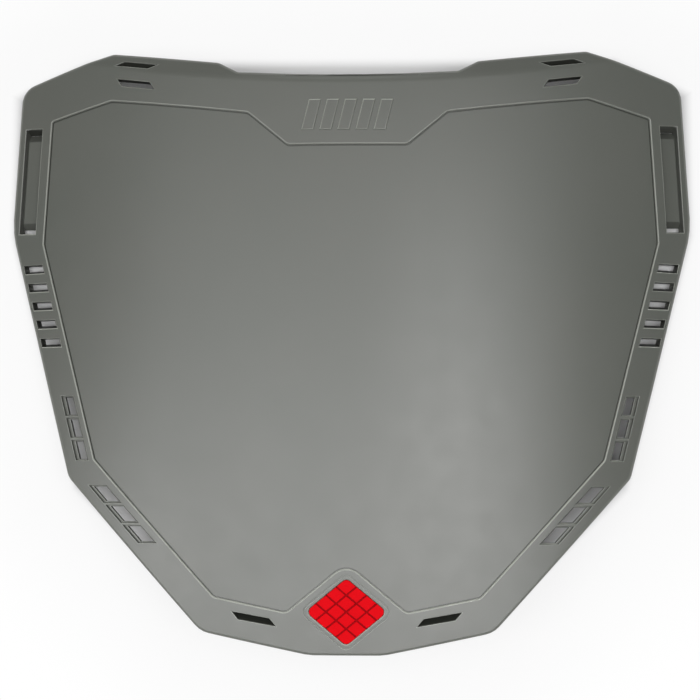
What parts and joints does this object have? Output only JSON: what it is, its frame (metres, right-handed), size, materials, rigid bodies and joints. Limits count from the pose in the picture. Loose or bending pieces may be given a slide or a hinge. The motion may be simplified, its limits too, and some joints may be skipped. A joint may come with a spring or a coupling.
{
  "type": "racing number board",
  "caption": "Curved moulded number board with a raised band round a plain panel, strap channels, slots, ribbed vents and a red lozenge inlay.",
  "frame": {"origin": "middle of the bounding box in X and Y, at the level that the plate's lowest edge lies on", "axes": "+X to the plate's right as its face is looked at, +Y to its top with the tabs, +Z out of its face; the bend is a cylinder along Y"},
  "size_m": [0.2508, 0.2153, 0.0315],
  "materials": {
    "grey_plastic": "satin moulded plastic, mid grey",
    "red_plastic": "semi-gloss red"
  },
  "bodies": {
    "root": {"plate": "grey_plastic", "inlay": "red_plastic"}
  },
  "joints": []
}
